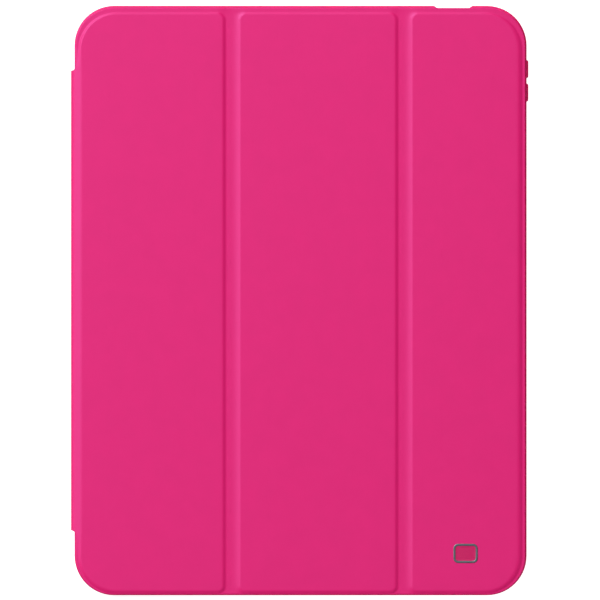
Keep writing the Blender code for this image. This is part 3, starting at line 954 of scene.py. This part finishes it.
def board_material():
    """Grey fibre board."""
    grey = (0.33, 0.32, 0.31)
    material, shader, place = new_material("stiffener board", grey, 0.85, rest=False)
    link = material.node_tree.links.new
    fibres = noise(material, place, 1.2, 5.0, 0.65, (1.0, 0.3, 1.0))
    link(tint(material, spread(material, fibres, 0.3, 0.7, 0.0, 1.0), scaled(grey, 0.75),
              scaled(grey, 1.2)), shader.inputs["Base Color"])
    link(bump(material, fibres, 0.04, 0.5), shader.inputs["Normal"])
    return material


def metal_material(name, colour, roughness, stretch, rest):
    """Brushed metal, its scratches running one way."""
    material, shader, place = new_material(name, colour, roughness, rest=rest)
    link = material.node_tree.links.new
    lines = noise(material, place, 0.9, 4.0, 0.6, stretch)
    link(tint(material, spread(material, lines, 0.3, 0.7, 0.0, 1.0), scaled(colour, 0.85),
              scaled(colour, 1.12)), shader.inputs["Base Color"])
    link(spread(material, lines, 0.3, 0.7, roughness - 0.05, roughness + 0.08),
         shader.inputs["Roughness"])
    link(bump(material, lines, 0.006, 0.5), shader.inputs["Normal"])
    shader.inputs["Metallic"].default_value = 1.0
    return material


def badge_material():
    """Brushed gunmetal rim round a sunk field lacquered in the case's colour."""
    low, high = node_box("front_badge")
    colour = (0.150, 0.175, 0.205)
    material, shader, place = new_material("gunmetal badge", colour, 0.34)
    tree = material.node_tree
    link = tree.links.new
    lines = noise(material, place, 0.5, 4.0, 0.6, (0.15, 2.0, 1.0))
    split = tree.nodes.new("ShaderNodeSeparateXYZ")
    link(place, split.inputs["Vector"])
    raised = spread(material, split.outputs["Z"], (high[2] - 0.11) * MM, (high[2] - 0.05) * MM,
                    0.0, 1.0)
    mix = tree.nodes.new("ShaderNodeMix")
    mix.data_type = "RGBA"
    link(raised, mix.inputs["Factor"])
    link(tint(material, spread(material, lines, 0.3, 0.7, 0.0, 1.0), scaled(SKIN_COLOUR, 0.72),
              scaled(SKIN_COLOUR, 0.82)), mix.inputs["A"])
    link(tint(material, spread(material, lines, 0.3, 0.7, 0.0, 1.0), scaled(colour, 0.85),
              scaled(colour, 1.15)), mix.inputs["B"])
    link(mix.outputs["Result"], shader.inputs["Base Color"])
    link(spread(material, lines, 0.3, 0.7, 0.3, 0.42), shader.inputs["Roughness"])
    link(bump(material, lines, 0.004, 0.5), shader.inputs["Normal"])
    link(spread(material, raised, 0.0, 1.0, 0.0, 0.55), shader.inputs["Metallic"])
    return material


def floor_material():
    """Floor whose glow is painted light: white round the case, stronger right of it to light the
    case's shaded sides from below, and fading out under the case as a painted shadow.
    """
    material, shader, place = new_material("glowing floor", (0.55, 0.55, 0.55), 0.9, rest=False)
    link = material.node_tree.links.new
    link(tint(material, spread(material, noise(material, place, 60.0, 2.0), 0.3, 0.7, 0.0, 1.0),
              (0.54, 0.54, 0.54), (0.56, 0.56, 0.56)), shader.inputs["Base Color"])
    shader.inputs["Specular IOR Level"].default_value = 0.1
    shader.inputs["Emission Color"].default_value = (1.0, 1.0, 1.0, 1.0)
    tree = material.node_tree
    split = tree.nodes.new("ShaderNodeSeparateXYZ")
    link(place, split.inputs["Vector"])
    # shown is 1 round the case and 0 under it: there the glow stops, a painted shadow under the case.
    shown = None
    for axis, half in (("X", cad_high[0]), ("Y", cad_high[1])):
        far = tree.nodes.new("ShaderNodeMath")
        far.operation = "ABSOLUTE"
        link(split.outputs[axis], far.inputs[0])
        side = spread(material, far.outputs["Value"], half - 0.022, half - 0.010, 0.0, 1.0)
        if shown is None:
            shown = side
            continue
        most = tree.nodes.new("ShaderNodeMath")
        most.operation = "MAXIMUM"
        link(shown, most.inputs[0])
        link(side, most.inputs[1])
        shown = most.outputs["Value"]
    # Painted light: the glow rises from FLOOR_GLOW left of the case to FLOOR_GLOW_RIGHT right of it.
    across = spread(material, split.outputs["X"], cad_low[0], cad_high[0], FLOOR_GLOW,
                    FLOOR_GLOW_RIGHT)
    glow = tree.nodes.new("ShaderNodeMath")
    glow.operation = "MULTIPLY"
    link(shown, glow.inputs[0])
    link(across, glow.inputs[1])
    link(glow.outputs["Value"], shader.inputs["Emission Strength"])
    return material


# ---------------------------------------------------------------- camera, light and floor

KEY_AZIMUTH = math.radians(135)      # from the upper left
KEY_ELEVATION = math.radians(50)
KEY_DISTANCE = 4.2
KEY_SIZE = 3.6
KEY_POWER = 223.0
RIM_AZIMUTH = math.radians(180)      # a gloss along the left edges only
RIM_ELEVATION = math.radians(25)
RIM_DISTANCE = 4.2
RIM_SIZE = 1.5
RIM_POWER = 20.0
AMBIENT = 0.28
# The floor's glow is painted light that keeps it white and lights the case from below.
FLOOR_GLOW = 0.86               # left of the case
FLOOR_GLOW_RIGHT = 1.05         # right of it, where it lights the shaded sides from below


def make_camera():
    """Straight above the case, with its top edge up."""
    camera = bpy.data.objects.new("camera", bpy.data.cameras.new("camera"))
    bpy.context.scene.collection.objects.link(camera)
    camera.data.lens = LENS
    camera.data.sensor_width = SENSOR
    camera.data.clip_start = 0.01
    camera.data.clip_end = 20.0
    distance = VIEW_WIDTH * LENS / SENSOR
    height = CAMERA_AIM_HEIGHT + distance
    camera.location = (VIEW_CENTRE[0] * MM, VIEW_CENTRE[1] * MM, height * MM)
    camera.rotation_euler = (0, 0, 0)
    bpy.context.scene.camera = camera


def make_lamp(name, azimuth, elevation, distance, size, power):
    """A soft round lamp that faces the case."""
    lamp = bpy.data.lights.new(name, "AREA")
    lamp.shape = "DISK"
    lamp.size = size
    lamp.energy = power
    holder = bpy.data.objects.new(name, lamp)
    bpy.context.scene.collection.objects.link(holder)
    flat = math.cos(elevation) * distance
    holder.location = (flat * math.cos(azimuth), flat * math.sin(azimuth),
                       math.sin(elevation) * distance)
    holder.rotation_euler = (-Vector(holder.location)).to_track_quat("-Z", "Y").to_euler()
    return holder


def make_light():
    """A soft key from the upper left, a gloss from the left, and even light from all round."""
    make_lamp("key", KEY_AZIMUTH, KEY_ELEVATION, KEY_DISTANCE, KEY_SIZE, KEY_POWER)
    rim = make_lamp("rim", RIM_AZIMUTH, RIM_ELEVATION, RIM_DISTANCE, RIM_SIZE, RIM_POWER)
    rim.visible_diffuse = False
    world = bpy.data.worlds.new("studio")
    bpy.context.scene.world = world
    world.use_nodes = True
    sky = world.node_tree.nodes["Background"]
    sky.inputs["Color"].default_value = (1, 1, 1, 1)
    tree = world.node_tree
    path = tree.nodes.new("ShaderNodeLightPath")
    shown = tree.nodes.new("ShaderNodeMapRange")
    shown.inputs["To Min"].default_value = AMBIENT
    shown.inputs["To Max"].default_value = 1.0
    tree.links.new(path.outputs["Is Camera Ray"], shown.inputs["Value"])
    tree.links.new(shown.outputs["Result"], sky.inputs["Strength"])
    world.cycles_visibility.glossy = False
    bpy.context.scene.view_settings.view_transform = "Standard"


def make_floor():
    """The pale floor under the case."""
    mesh = bpy.data.meshes.new("floor")
    corners = [(x * FLOOR_REACH, y * FLOOR_REACH, FLOOR_LEVEL)
               for x, y in ((-1, -1), (1, -1), (1, 1), (-1, 1))]
    mesh.from_pydata(corners, [], [(0, 1, 2, 3)])
    floor = bpy.data.objects.new("floor", mesh)
    bpy.context.scene.collection.objects.link(floor)
    mesh.materials.append(floor_material())
    floor.visible_glossy = False


# ---------------------------------------------------------------- the whole case


make_camera()
make_light()
make_floor()

skin_look = skin_material()
tray_look = tray_material()
lining_look = lining_material()
board_look = board_material()
magnet_look = metal_material("plated magnet", (0.60, 0.58, 0.55), 0.3, (0.2, 2.0, 1.0), False)
badge_look = badge_material()

covers = {n: make_cover_panel(n, skin_look) for n in (1, 2, 3)}
grooves = {n: make_groove(n, skin_look) for n in (1, 2)}
wrap, strip, back, flap, inner_spine, soft_spine = make_spine(skin_look, lining_look)
linings = {n: make_lining(n, lining_look) for n in (1, 2, 3)}
fold_linings = {n: make_fold_lining(n, lining_look) for n in (1, 2)}
make_tray(tray_look)
make_button("volume_up_button", "volume_up", tray_look)
make_button("volume_down_button", "volume_down", tray_look)
make_badge(badge_look)

for name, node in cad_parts.items():
    if name.endswith("_board"):
        look = board_look
    elif "magnet" in name:
        look = magnet_look
    else:
        continue
    for place in node.material_slots:
        place.material = look
